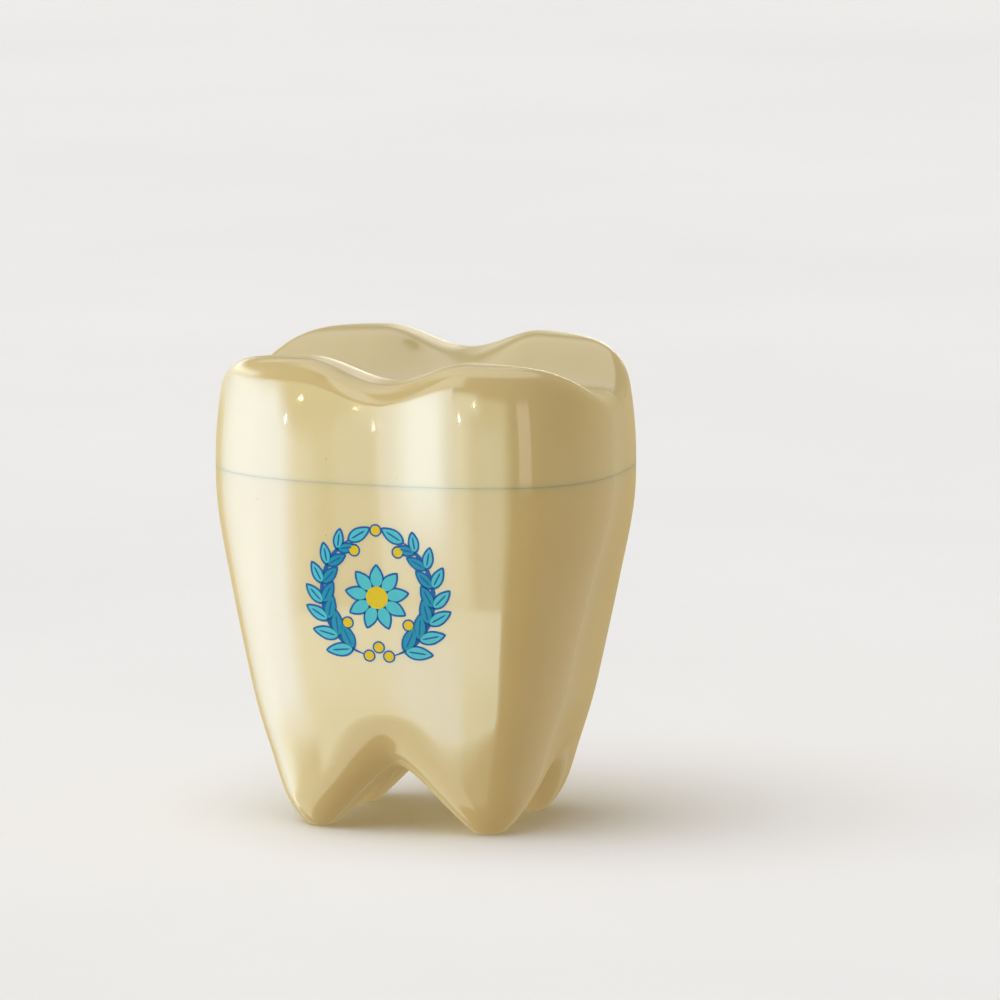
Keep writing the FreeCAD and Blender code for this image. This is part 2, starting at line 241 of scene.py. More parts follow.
def mesh_object(name, verts, faces, smooth=True, sharp=None):
    me = bpy.data.meshes.new(name)
    me.from_pydata(verts, [], faces)
    bm = bmesh.new()
    bm.from_mesh(me)
    bmesh.ops.remove_doubles(bm, verts=bm.verts, dist=1e-8)
    bmesh.ops.recalc_face_normals(bm, faces=bm.faces)
    bm.to_mesh(me)
    bm.free()
    for p in me.polygons:
        p.use_smooth = smooth
    if sharp is not None:
        me.set_sharp_from_angle(angle=math.radians(sharp))
    o = bpy.data.objects.new(name, me)
    bpy.context.scene.collection.objects.link(o)
    return o


SKIN = -0.02
RIM_R = 0.010
HOLD = 0.015          # a ring just off each rim keeps the wall's shading flat up to it

# root shell: outside from the vault up to the rim, over the rim, down to the ledge, then the inside
rim = SEAM - GAP / 2
out = dome(tooth, SKIN, rim - RIM_R, False, 170)[::-1]
out = np.concatenate([out[:-1], shelf(tooth, [(rim - RIM_R - HOLD, SKIN)]), out[-1:]])
flat = out[..., 2]
out[..., 2] = np.where(flat < 0.25, 0.25 * np.maximum((flat + 0.25) / 0.5, 0.0) ** 2, flat)
edge = shelf(tooth, arc(rim - RIM_R, SKIN - RIM_R, RIM_R, 0, 90, 6, 1, 1)[1:])
step = shelf(tooth, [(rim, -0.5), (rim, -0.95)] + arc(rim - 0.2, -1.0, 0.2, 90, 0, 3, 1, -1)[1:] +
             [(67.0, -1.2), (66.5, -1.2), (66.5, -1.5), (66.5, -2.1)])
inside = dome(tooth, -WALL, 66.4, False, 70)
shell = ring_mesh("root_shell_skin", np.concatenate([out, edge, step, inside]))

# crown lid: outside from the fossa down to the rim, under the rim, then the inside
rim = SEAM + GAP / 2
out = dome(tooth, SKIN, rim + RIM_R, True, 120)[::-1]
out = np.concatenate([out[:-1], shelf(tooth, [(rim + RIM_R + HOLD, SKIN)]), out[-1:]])
edge = shelf(tooth, arc(rim + RIM_R, SKIN - RIM_R, RIM_R, 0, 90, 6, -1, 1)[1:])
lip = shelf(tooth, [(rim, -0.8), (rim, -1.3)] + arc(rim + 0.35, -1.65, 0.35, 90, 0, 4, -1, -1))
inside = dome(tooth, -LID_WALL, rim + 0.5, True, 80)
lid = ring_mesh("crown_lid_skin", np.concatenate([out, edge, lip, inside]))

# inner cup: outside of the bowl, flange, collar, then the inside of the bowl
bowl = dome(cup_form, 0.0, 66.54, False, 60)[::-1]
brim = shelf(tooth, [(66.54, -2.4), (66.54, -1.6)] + arc(66.74, -1.6, 0.2, 90, 0, 3, -1, 1)
             + arc(67.66, -1.6, 0.2, 0, 90, 3, 1, 1) + [(67.86, -2.1)]
             + arc(68.16, -2.45, 0.3, 90, 0, 4, -1, -1)
             + [(69.0, -2.75), (70.2, -2.75)] + arc(71.4, -3.35, 0.6, 0, 90, 6, 1, 1) + [(72.0, -4.0)])
over = shelf(cup_form, arc(71.3, -1.1, 0.7, 90, 0, 6, 1, -1))
room = dome(cup_form, -1.8, 71.0, False, 110)
cup = ring_mesh("inner_cup_skin", np.concatenate([bowl, brim, over, room]))


# ------------------------------------------------------------------ hinge pieces
def loop_mesh(name, loops, cyclic):
    """Tube through equal closed loops of points; cyclic joins the last loop to the first, else both ends are capped."""
    n, m = len(loops), len(loops[0])
    verts = [tuple(np.asarray(p) * MM) for l in loops for p in l]
    faces = []
    for i in range(n if cyclic else n - 1):
        i2 = (i + 1) % n
        for j in range(m):
            k = (j + 1) % m
            faces.append((i * m + j, i * m + k, i2 * m + k, i2 * m + j))
    if not cyclic:
        for i in (0, n - 1):
            c = len(verts)
            verts.append(tuple(np.mean(np.asarray(loops[i]), 0) * MM))
            for j in range(m):
                faces.append((c, i * m + j, i * m + (j + 1) % m))
    return mesh_object(name, verts, faces, sharp=38)


def reach(theta, polygon):
    """How far a ray from the hinge axis at angle theta runs inside a polygon that holds or touches the axis."""
    d = np.array([math.cos(theta), math.sin(theta)])
    far = 0.0
    for i in range(len(polygon)):
        p, q = np.array(polygon[i]), np.array(polygon[(i + 1) % len(polygon)])
        e = q - p
        den = d[0] * (-e[1]) + d[1] * e[0]
        if abs(den) < 1e-9:
            continue
        t = (p[0] * (-e[1]) + p[1] * e[0]) / den
        s = (d[0] * p[1] - d[1] * p[0]) / den
        if t > 0 and -1e-6 <= s <= 1 + 1e-6:
            far = max(far, t)
    return far


def knuckle(name, x0, x1, arm, heel, hole):
    """Barrel with its arm, and a heel on the lid's, as one loop section along X; (y, z) from the hinge axis."""
    m = 144
    th = np.linspace(0, 2 * np.pi, m, endpoint=False)
    r = np.full(m, 2.7)
    for i, t in enumerate(th):
        for poly in (arm, heel):
            if poly:
                q = reach(t, poly)
                if q > r[i]:
                    r[i] = q
    soft = r.copy()
    for _ in range(2):
        soft = 0.25 * np.roll(soft, 1) + 0.5 * soft + 0.25 * np.roll(soft, -1)
    r = np.where(r > 4.2, r, soft)

    def at(x, inset):
        rr = r - inset
        return [(x, HINGE_Y + rr[i] * math.cos(th[i]), HINGE_Z + rr[i] * math.sin(th[i])) for i in range(m)]

    def bore(x, grow):
        return [(x, HINGE_Y + (hole + grow) * math.cos(t), HINGE_Z + (hole + grow) * math.sin(t)) for t in th]
    b = 0.28
    loops = [bore(x0 + 0.12, 0.0), bore(x0, 0.12)]
    for k in range(5):
        a = math.radians(90 * k / 4)
        loops.append(at(x0 + b * (1 - math.cos(a)), b * (1 - math.sin(a))))
    for x in np.linspace(x0 + b, x1 - b, 6)[1:-1]:
        loops.append(at(x, 0.0))
    for k in range(4, -1, -1):
        a = math.radians(90 * k / 4)
        loops.append(at(x1 - b * (1 - math.cos(a)), b * (1 - math.sin(a))))
    loops += [bore(x1, 0.12), bore(x1 - 0.12, 0.0)]
    return loop_mesh(name, loops, True)


lid_arm = [(0.4, 0.15), (-4.4, 0.15), (-4.4, 2.7), (0.0, 2.7)]
shell_arm = [(0.4, -0.29), (0.0, -2.7), (-4.4, -2.7), (-4.4, -0.29)]
c, s = math.cos(math.radians(135)), math.sin(math.radians(135))
heel_dir = np.array([-c, -s])
heel_side = np.array([-heel_dir[1], heel_dir[0]])
heel = [tuple(-0.2 * heel_dir - 0.8 * heel_side), tuple(3.5 * heel_dir - 0.8 * heel_side),
        tuple(3.5 * heel_dir + 0.8 * heel_side), tuple(-0.2 * heel_dir + 0.8 * heel_side)]
lid_knuckle = knuckle("lid_knuckle", -4.5, 4.5, lid_arm, heel, 1.05)
shell_knuckles = [knuckle("shell_knuckle_left", -10.7, -4.7, shell_arm, None, 1.01),
                  knuckle("shell_knuckle_right", 4.7, 10.7, shell_arm, None, 1.01)]

pin_loops = []
for x, r in [(-10.7, 0.35), (-10.66, 0.62), (-10.55, 0.84), (-10.38, 0.97), (-10.2, 1.0), (-5, 1.0), (0, 1.0), (5, 1.0),
             (10.2, 1.0), (10.38, 0.97), (10.55, 0.84), (10.66, 0.62), (10.7, 0.35)]:
    pin_loops.append([(x, HINGE_Y + r * math.cos(t), HINGE_Z + r * math.sin(t)) for t in np.linspace(0, 2 * np.pi, 40, endpoint=False)])
pin = loop_mesh("hinge_pin_wire", pin_loops, False)


# ---------------------------------------------------------------- front print
PRINT_Z = 47.0


def front_y(x, z, level):
    """Y of the front face (tooth's own axis at TOOTH_Y) under a point of the print."""
    lo, hi = np.full(x.shape, -40.0), np.full(x.shape, -8.0)
    for _ in range(44):
        t = 0.5 * (lo + hi)
        inside = tooth(x, t, z) < level
        lo, hi = np.where(inside, lo, t), np.where(inside, t, hi)
    return 0.5 * (lo + hi) + TOOTH_Y


def film(name, grids, lift):
    """Closed thin ink films over grids of (s, t) points on the front, each grid (n, m, 2)."""
    verts, faces = [], []
    for g in grids:
        n, m = g.shape[:2]
        x, z = g[..., 0], PRINT_Z + g[..., 1]
        base = len(verts)
        for level in (lift, -0.06):
            y = front_y(x, z, level)
            verts += [tuple(p) for p in (np.stack([x, y, z], -1).reshape(-1, 3) * MM)]
        top = lambda i, j: base + i * m + j
        low = lambda i, j: base + n * m + i * m + j
        for i in range(n - 1):
            for j in range(m - 1):
                faces.append((top(i, j), top(i, j + 1), top(i + 1, j + 1), top(i + 1, j)))
                faces.append((low(i, j), low(i + 1, j), low(i + 1, j + 1), low(i, j + 1)))
        rim_ij = [(0, j) for j in range(m)] + [(i, m - 1) for i in range(1, n)] + \
                 [(n - 1, j) for j in range(m - 2, -1, -1)] + [(i, 0) for i in range(n - 2, 0, -1)]
        for a in range(len(rim_ij)):
            p, q = rim_ij[a], rim_ij[(a + 1) % len(rim_ij)]
            faces.append((top(*p), low(*p), low(*q), top(*q)))
    return mesh_object(name, verts, faces, sharp=50)


def leaf(x, t, angle, length, width, grow=0.0):
    """Pointed leaf from its stalk end, as a grid; grow widens it on all sides."""
    n, m = 22, 9
    u = np.linspace(0, 1, n)
    v = np.linspace(-1, 1, m)
    half = 0.5 * width * np.sin(np.pi * np.clip(u, 0, 1) ** 0.8) ** 0.85 + grow * np.sqrt(np.clip(4 * u * (1 - u), 0, 1)) + 0.015
    along = -grow * 1.3 + (length + 2.6 * grow) * u
    L = np.repeat(along[:, None], m, 1)
    W = half[:, None] * v[None, :]
    ca, sa = math.cos(angle), math.sin(angle)
    return np.stack([x + L * ca - W * sa, t + L * sa + W * ca], -1)


def disc(x, t, r, squash=1.0, angle=0.0):
    """Round spot as a grid squeezed from a square."""
    n = 13
    a = np.linspace(-1, 1, n)
    p, q = np.meshgrid(a, a, indexing="ij")
    dx = r * p * np.sqrt(1 - q * q / 2)
    dy = r * squash * q * np.sqrt(1 - p * p / 2)
    ca, sa = math.cos(angle), math.sin(angle)
    return np.stack([x + dx * ca - dy * sa, t + dx * sa + dy * ca], -1)


def stroke(points, width, taper=0.25):
    """Ribbon along points, thinner towards its ends."""
    p = np.asarray(points, float)
    d = np.gradient(p, axis=0)
    d /= np.linalg.norm(d, axis=1)[:, None]
    nrm = np.stack([-d[:, 1], d[:, 0]], -1)
    u = np.linspace(0, 1, len(p))
    w = 0.5 * width * (taper + (1 - taper) * np.clip(np.minimum(u, 1 - u) * 6, 0, 1))
    return np.stack([p + nrm * (w * k)[:, None] for k in (-1, 0, 1)], 1)


fills, tints, lines, suns = [], [], [], []
R = 11.2
for side in (1, -1):
    a = np.radians(np.linspace(-74, 62, 60))
    px, pt = side * R * 0.98 * np.cos(a), R * 1.06 * np.sin(a)
    lines.append(stroke(np.stack([px, pt], -1), 0.85))
    for k in range(7):
        f = 0.10 + 0.86 * k / 6.6
        i = int(f * 59)
        tang = math.atan2(pt[min(i + 1, 59)] - pt[max(i - 1, 0)], px[min(i + 1, 59)] - px[max(i - 1, 0)])
        size = 1.0 - 0.05 * k
        for turn in (0.62, -0.62):
            ang = tang + turn
            ln, wd = 4.9 * size, 2.15 * size
            ox, ot = px[i] + 0.25 * math.cos(ang), pt[i] + 0.25 * math.sin(ang)
            (fills if turn * side < 0 else tints).append(leaf(ox, ot, ang, ln, wd))
            lines.append(leaf(ox, ot, ang, ln, wd, 0.36))
    tip = math.atan2(pt[-1] - pt[-2], px[-1] - px[-2])
    fills.append(leaf(px[-1], pt[-1], tip, 4.4, 2.0))
    lines.append(leaf(px[-1], pt[-1], tip, 4.4, 2.0, 0.36))
veins = []
for g in fills + tints:
    mid = g[2:-4, 4]
    veins.append(stroke(mid, 0.32))
petals, petal_lines = [], []
for k in range(9):
    an = math.radians(90 + 40 * k)
    petals.append(leaf(1.9 * math.cos(an), 1.9 * math.sin(an) - 0.4, an, 4.1, 2.25))
    petal_lines.append(leaf(1.9 * math.cos(an), 1.9 * math.sin(an) - 0.4, an, 4.1, 2.25, 0.36))
suns = [disc(0, -0.4, 2.15)]
sun_rings = [disc(0, -0.4, 2.5)]
spots = [(side * x, t) for side in (1, -1) for x, t in ((4.3, 8.5), (6.0, -5.5), (1.95, -11.7))] + [(0.0, 12.5), (0.0, -10.0)]
berries = [disc(x, t, 0.90) for x, t in spots]
berry_rings = [disc(x, t, 1.22) for x, t in spots]

ink_line = film("print_outlines", lines + petal_lines + sun_rings + berry_rings, 0.012)
ink_fill = film("print_leaves", fills + petals, 0.022)
ink_tint = film("print_leaves_dark", tints, 0.022)
ink_vein = film("print_veins", veins, 0.030)
ink_sun = film("print_centres", suns + berries, 0.026)


# ------------------------------------------------------------------- materials
def material(name):
    m = bpy.data.materials.new(name)
    m.use_nodes = True
    return m, m.node_tree, m.node_tree.nodes["Principled BSDF"]


def noise(nt, coord, scale, detail=3.0, rough=0.55):
    n = nt.nodes.new("ShaderNodeTexNoise")
    n.inputs["Scale"].default_value = scale
    n.inputs["Detail"].default_value = detail
    n.inputs["Roughness"].default_value = rough
    nt.links.new(coord, n.inputs["Vector"])
    return n.outputs["Fac"]


def ramp(nt, fac, stops):
    r = nt.nodes.new("ShaderNodeValToRGB")
    while len(r.color_ramp.elements) < len(stops):
        r.color_ramp.elements.new(0.5)
    for e, (p, c) in zip(r.color_ramp.elements, stops):
        e.position = p
        e.color = c if len(c) == 4 else (*c, 1.0)
    nt.links.new(fac, r.inputs["Fac"])
    return r.outputs["Color"]


def mix(nt, fac, a, b, mode="MIX"):
    n = nt.nodes.new("ShaderNodeMix")
    n.data_type = "RGBA"
    n.blend_type = mode
    for sock, val in ((n.inputs[0], fac), (n.inputs[6], a), (n.inputs[7], b)):
        if hasattr(val, "links"):
            nt.links.new(val, sock)
        elif isinstance(val, tuple):
            sock.default_value = (*val, 1.0) if len(val) == 3 else val
        else:
            sock.default_value = val
    return n.outputs[2]


def bump(nt, height, strength, distance, over=None):
    b = nt.nodes.new("ShaderNodeBump")
    if over is not None:
        nt.links.new(over, b.inputs["Normal"])
    b.inputs["Strength"].default_value = strength
    b.inputs["Distance"].default_value = distance
    nt.links.new(height, b.inputs["Height"])
    return b.outputs["Normal"]


def veiled(nt, co, bsdf):
    """Gloss that softens where the wall turns away, less so up on the crest; returns the socket for its base roughness."""
    turn = nt.nodes.new("ShaderNodeLayerWeight")
    turn.inputs["Blend"].default_value = 0.5
    veil = nt.nodes.new("ShaderNodeMapRange")
    veil.interpolation_type = "SMOOTHSTEP"
    nt.links.new(turn.outputs["Facing"], veil.inputs["Value"])
    veil.inputs["From Min"].default_value, veil.inputs["From Max"].default_value = 0.52, 0.84
    part = nt.nodes.new("ShaderNodeSeparateXYZ")
    nt.links.new(co, part.inputs["Vector"])
    crest = nt.nodes.new("ShaderNodeMapRange")
    nt.links.new(part.outputs["Z"], crest.inputs["Value"])
    crest.inputs["From Min"].default_value, crest.inputs["From Max"].default_value = 0.078, 0.085
    crest.inputs["To Min"].default_value, crest.inputs["To Max"].default_value = 0.85, 0.36
    nt.links.new(crest.outputs["Result"], veil.inputs["To Max"])
    total = nt.nodes.new("ShaderNodeMath")
    nt.links.new(veil.outputs["Result"], total.inputs[1])
    nt.links.new(total.outputs["Value"], bsdf.inputs["Roughness"])
    return total.inputs[0]


def plastic(name, pale, deep, rough, weight, speck, gloss, grain):
    m, nt, bsdf = material(name)
    co = nt.nodes.new("ShaderNodeTexCoord").outputs["Object"]
    cloud = ramp(nt, noise(nt, co, 70.0, 5.0, 0.62), [(0.15, deep), (0.85, pale)])
    fleck = nt.nodes.new("ShaderNodeTexVoronoi")
    fleck.inputs["Scale"].default_value = 210.0
    nt.links.new(co, fleck.inputs["Vector"])
    near = ramp(nt, fleck.outputs["Distance"], [(0.0, (1, 1, 1)), (0.022, (1, 1, 1)), (0.042, (0, 0, 0))])
    pick = nt.nodes.new("ShaderNodeSeparateColor")
    nt.links.new(fleck.outputs["Color"], pick.inputs["Color"])
    few = ramp(nt, pick.outputs["Red"], [(0.0, (0, 0, 0)), (0.78, (0, 0, 0)), (0.80, (1, 1, 1))])
    dots = mix(nt, 1.0, near, few, "MULTIPLY")
    col = mix(nt, dots, cloud, speck)
    nt.links.new(col, bsdf.inputs["Base Color"])
    r = nt.nodes.new("ShaderNodeMapRange")
    nt.links.new(noise(nt, co, 190.0, 3.0, 0.6), r.inputs["Value"])
    r.inputs["From Min"].default_value, r.inputs["From Max"].default_value = 0.1, 0.9
    r.inputs["To Min"].default_value, r.inputs["To Max"].default_value = rough * 0.82, rough * 1.18
    nt.links.new(r.outputs["Result"], veiled(nt, co, bsdf))
    wave = bump(nt, noise(nt, co, 48.0, 1.0, 0.4), 1.0, 0.000012)
    nt.links.new(bump(nt, noise(nt, co, 1500.0, 3.0, 0.55), grain, 0.0001, wave), bsdf.inputs["Normal"])
    bsdf.inputs["IOR"].default_value = 1.5
    bsdf.inputs["Specular IOR Level"].default_value = gloss
    bsdf.inputs["Subsurface Weight"].default_value = weight
    bsdf.inputs["Subsurface Radius"].default_value = (1.0, 0.72, 0.34)
    bsdf.inputs["Subsurface Scale"].default_value = 0.0024
    return m


cream = plastic("cream_plastic", (0.825, 0.702, 0.380), (0.790, 0.662, 0.344), 0.045, 0.6, (0.60, 0.49, 0.26), 1.0, 0.012)
lid_cream = plastic("cream_plastic_lid", (0.840, 0.733, 0.420), (0.805, 0.692, 0.382), 0.045, 0.6, (0.60, 0.49, 0.26), 1.0, 0.012)
inside_cream = plastic("cream_plastic_inside", (0.860, 0.785, 0.560), (0.850, 0.773, 0.546), 0.36, 0.5, (0.83, 0.75, 0.52), 0.5, 0.05)
cup_cream = plastic("cup_plastic", (0.880, 0.825, 0.650), (0.872, 0.815, 0.637), 0.30, 0.5, (0.86, 0.80, 0.61), 0.5, 0.05)


def ink(name, colour, deep):
    m, nt, bsdf = material(name)
    co = nt.nodes.new("ShaderNodeTexCoord").outputs["Object"]
    col = ramp(nt, noise(nt, co, 700.0, 3.0, 0.6), [(0.3, deep), (0.7, colour)])
    nt.links.new(col, bsdf.inputs["Base Color"])
    veiled(nt, co, bsdf).default_value = 0.16
    bsdf.inputs["IOR"].default_value = 1.5
    bsdf.inputs["Specular IOR Level"].default_value = 0.15
    return m


blue = ink("ink_blue", (0.006, 0.17, 0.64), (0.004, 0.14, 0.58))
cyan = ink("ink_cyan", (0.11, 0.76, 1.0), (0.09, 0.70, 0.96))
teal = ink("ink_teal", (0.010, 0.42, 0.74), (0.006, 0.37, 0.68))
yellow = ink("ink_yellow", (0.95, 0.78, 0.03), (0.90, 0.72, 0.02))

steel, nt, bsdf = material("pin_steel")
co = nt.nodes.new("ShaderNodeTexCoord").outputs["Object"]
mp = nt.nodes.new("ShaderNodeMapping")
mp.inputs["Scale"].default_value = (40.0, 900.0, 900.0)
nt.links.new(co, mp.inputs["Vector"])
drawn = noise(nt, mp.outputs["Vector"], 3.0, 4.0, 0.6)
nt.links.new(ramp(nt, drawn, [(0.3, (0.50, 0.50, 0.49)), (0.7, (0.66, 0.66, 0.64))]), bsdf.inputs["Base Color"])
bsdf.inputs["Metallic"].default_value = 1.0
bsdf.inputs["Roughness"].default_value = 0.28
nt.links.new(bump(nt, drawn, 0.15, 0.0001), bsdf.inputs["Normal"])


def dress(obj, mat, body, slot_name, *nodes):
    obj.data.materials.append(mat)
    if nodes:
        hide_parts(*nodes)
    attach(obj, body)


dress(shell, cream, "base", "shell_plastic", "root_shell")
dress(lid, lid_cream, "lid", "shell_plastic", "crown_lid")
for o in (shell, lid):
    o.data.materials.append(inside_cream)
    mids = np.array([p.center for p in o.data.polygons]) / MM
    deep = tooth(mids[:, 0], mids[:, 1] - TOOTH_Y, mids[:, 2]) < -1.1
    for p, inner in zip(o.data.polygons, deep):
        p.material_index = int(inner)
dress(cup, cup_cream, "base", "cup_plastic", "inner_cup")
dress(lid_knuckle, lid_cream, "lid", "shell_plastic", "crown_lid")
for k in shell_knuckles:
    dress(k, cream, "base", "shell_plastic", "root_shell")
dress(pin, steel, "base", "pin_steel", "hinge_pin")
dress(ink_line, blue, "base", "shell_plastic")
dress(ink_fill, cyan, "base", "shell_plastic")
dress(ink_tint, teal, "base", "shell_plastic")
dress(ink_vein, blue, "base", "shell_plastic")
dress(ink_sun, yellow, "base", "shell_plastic")

# ---------------------------------------------------------------- floor, camera
me = bpy.data.meshes.new("floor")
me.from_pydata([(-4, -4, 0), (4, -4, 0), (4, 4, 0), (-4, 4, 0)], [], [(0, 1, 2, 3)])
floor = bpy.data.objects.new("floor", me)
bpy.context.scene.collection.objects.link(floor)
fm, nt, bsdf = material("floor_pale")
co = nt.nodes.new("ShaderNodeTexCoord").outputs["Object"]
nt.links.new(ramp(nt, noise(nt, co, 6.0, 4.0, 0.5), [(0.3, (0.79, 0.79, 0.79)), (0.7, (0.82, 0.82, 0.82))]), bsdf.inputs["Base Color"])
bsdf.inputs["Roughness"].default_value = 0.85
bsdf.inputs["Specular IOR Level"].default_value = 0.2
me.materials.append(fm)
floor.visible_glossy = False
floor.visible_diffuse = False
floor.visible_shadow = False

al, el = math.radians(17.6), math.radians(8.9)
right = Vector((math.cos(al), math.sin(al), 0))
ahead = Vector((-math.sin(al) * math.cos(el), math.cos(al) * math.cos(el), -math.sin(el)))
above = right.cross(ahead)
PX = 0.19 * MM
FOOT = Vector((0.0, TOOTH_Y * MM, 0.0))
aim = FOOT + right * ((500 - 426.4) * PX) + above * ((815.4 - 500) * PX)
DIST = 2.4
cam = bpy.data.cameras.new("camera")
cam.sensor_width = 36.0
cam.lens = 36.0 * DIST / (1000 * PX)
cam.clip_start, cam.clip_end = 0.05, 50.0
cam_obj = bpy.data.objects.new("camera", cam)
bpy.context.scene.collection.objects.link(cam_obj)
where = aim - ahead * DIST
cam_obj.matrix_world = Matrix(((right.x, above.x, -ahead.x, where.x), (right.y, above.y, -ahead.y, where.y),
                               (right.z, above.z, -ahead.z, where.z), (0, 0, 0, 1)))
bpy.context.scene.camera = cam_obj

# ----------------------------------------------------------------------- lights
scene = bpy.context.scene
scene.view_settings.view_transform = "Standard"
scene.view_settings.look = "None"
world = bpy.data.worlds.new("studio")
scene.world = world
world.use_nodes = True
wt = world.node_tree
way = wt.nodes.new("ShaderNodeSeparateXYZ")
wt.links.new(wt.nodes.new("ShaderNodeTexCoord").outputs["Generated"], way.inputs["Vector"])


def sky(op, *values):
    """Math node on the direction of a ray of light."""
    n = wt.nodes.new("ShaderNodeMath")
    n.operation = op
    for sock, v in zip(n.inputs, values):
        if hasattr(v, "links"):
            wt.links.new(v, sock)
        else:
            sock.default_value = v
    return n.outputs[0]


def rise(v, a, b, low=0.0, high=1.0):
    n = wt.nodes.new("ShaderNodeMapRange")
    n.interpolation_type = "SMOOTHSTEP"
    wt.links.new(v, n.inputs["Value"])
    for key, val in (("From Min", a), ("From Max", b), ("To Min", low), ("To Max", high)):
        n.inputs[key].default_value = val
    return n.outputs["Result"]


azimuth = sky("MULTIPLY", sky("ARCTAN2", way.outputs["X"], sky("MULTIPLY", way.outputs["Y"], -1.0)), 180 / math.pi)
height = sky("MULTIPLY", sky("ARCSINE", way.outputs["Z"]), 180 / math.pi)


def span(v, lo, hi, soft):
    return sky("MULTIPLY", rise(v, lo - soft, lo + soft), rise(v, hi - soft, hi + soft, 1.0, 0.0))


def softbox(under, az, el, colour, soft_az=0.8, soft_el=2.0):
    """Lay a lit panel, given in degrees of azimuth from the front and of height, over what is there."""
    return mix(wt, sky("MULTIPLY", span(azimuth, *az, soft_az), span(height, *el, soft_el)), under, colour)


def glint(under, az, el, wide, tall, colour):
    p = sky("DIVIDE", sky("SUBTRACT", azimuth, az), wide)
    q = sky("DIVIDE", sky("SUBTRACT", height, el), tall)
    r = sky("SQRT", sky("ADD", sky("MULTIPLY", p, p), sky("MULTIPLY", q, q)))
    return mix(wt, rise(r, 0.6, 1.0, 1.0, 0.0), under, colour)


# what glossy faces mirror: panels of a small studio round the tooth
studio = ramp(wt, rise(height, -60.0, 60.0), [(0.0, (0.50, 0.43, 0.27)), (0.30, (0.45, 0.39, 0.25)), (0.55, (0.40, 0.35, 0.23)),
                                             (1.0, (0.30, 0.27, 0.20))])
studio = softbox(studio, (70, 190), (-38, -2), (0.62, 0.57, 0.46), 14.0, 8.0)
studio = softbox(studio, (160, 190), (-38, -2), (1.05, 1.05, 0.98), 12.0, 8.0)
studio = softbox(studio, (-190, -128), (-38, -2), (1.05, 1.05, 0.98), 8.0, 8.0)
studio = softbox(studio, (-110, 2), (-58, -34), (1.50, 1.60, 1.30), 8.0, 3.0)
studio = softbox(studio, (2, 34), (-52, -34), (0.95, 0.92, 0.68), 3.0, 3.0)
studio = mix(wt, rise(height, 50.0, 66.0), studio, (1.55, 1.60, 1.45))
studio = softbox(studio, (-21, 5), (16, 60), (1.80, 1.95, 1.75), 3.0, 7.0)
studio = softbox(studio, (-60, 31), (-36, 10), (1.55, 1.65, 1.20), 4.5, 1.6)
studio = softbox(studio, (3, 27), (-36, 3), (2.0, 2.25, 1.85), 3.0, 4.0)
studio = softbox(studio, (-60, -31), (-36, -1), (2.45, 2.80, 2.45), 7.0, 4.0)
studio = softbox(studio, (-29, 13), (-36, 1), (1.95, 2.10, 1.65), 5.0, 4.0)
studio = softbox(studio, (-21, 7), (-21, 9), (3.05, 3.50, 3.05), 4.5, 2.5)
studio = softbox(studio, (-26, -18), (-21, 3), (2.10, 2.40, 2.00), 1.5, 3.0)
studio = softbox(studio, (-118, 28), (-35.8, -20.6), (3.1, 3.6, 3.2), 1.5, 0.6)
studio = softbox(studio, (-38, 28), (-36.2, -29), (2.7, 3.1, 2.5), 6.0, 3.5)
studio = softbox(studio, (-18, 0), (-35.8, -24), (3.2, 3.9, 4.0), 4.0, 2.0)
studio = softbox(studio, (-17.6, 1), (-15, 15), (3.2, 3.75, 3.8), 0.4, 6.0)
studio = softbox(studio, (-14, -3), (-13, 11), (5.2, 6.3, 6.9), 3.5, 5.0)
fade = ramp(wt, rise(azimuth, -170.0, -40.0), [(0.0, (0.75, 0.72, 0.62)), (0.10, (0.80, 0.78, 0.70)), (0.35, (1.6, 1.9, 2.1)),
                                              (0.60, (3.0, 3.7, 4.3)), (0.85, (4.0, 5.0, 6.0))])
lean = sky("ADD", azimuth, sky("MULTIPLY", sky("MAXIMUM", sky("ADD", height, 1.5), 0.0), 0.9))
studio = mix(wt, sky("MULTIPLY", rise(lean, -49.5, -36.5, 1.0, 0.0),
                     sky("MULTIPLY", rise(height, -33.5, -26.0), rise(height, 3.5, 13.0, 1.0, 0.0))), studio, fade)
studio = softbox(studio, (-112, -38), (-42, -33), (1.6, 1.7, 1.35), 5.0, 1.6)
studio = softbox(studio, (2, 13), (6.0, 10.5), (2.7, 3.0, 2.6), 2.5, 1.5)
studio = softbox(studio, (-150, -76), (9, 22), (3.0, 3.4, 3.3), 10.0, 7.0)
studio = softbox(studio, (39, 50), (-9.3, 9.8), (1.5, 1.4, 1.2), 0.8, 1.5)
studio = softbox(studio, (-181, -115), (38, 70), (1.2, 1.2, 1.1), 6.0, 6.0)
studio = softbox(studio, (-178, -164), (14, 28), (1.3, 1.3, 1.2), 3.0, 4.0)
studio = softbox(studio, (-177, -164), (2, 10.5), (8.0, 8.0, 7.5), 2.0, 2.0)
for az, el, wide in ((-45.3, 1.6, 0.55), (-18.3, 1.7, 0.13), (3.6, 4.8, 0.5)):
    studio = glint(studio, az, el, wide, 1.2, (20.0, 20.0, 20.0))
for az, el, wide, tall, k in ((-38.7, 5.9, 1.4, 0.4, 40.0), (-21.5, 5.0, 0.4, 0.3, 26.0), (10.7, 8.3, 0.7, 0.7, 24.0)):
    studio = glint(studio, az, el, wide, tall, (k, 0.86 * k, 0.45 * k))

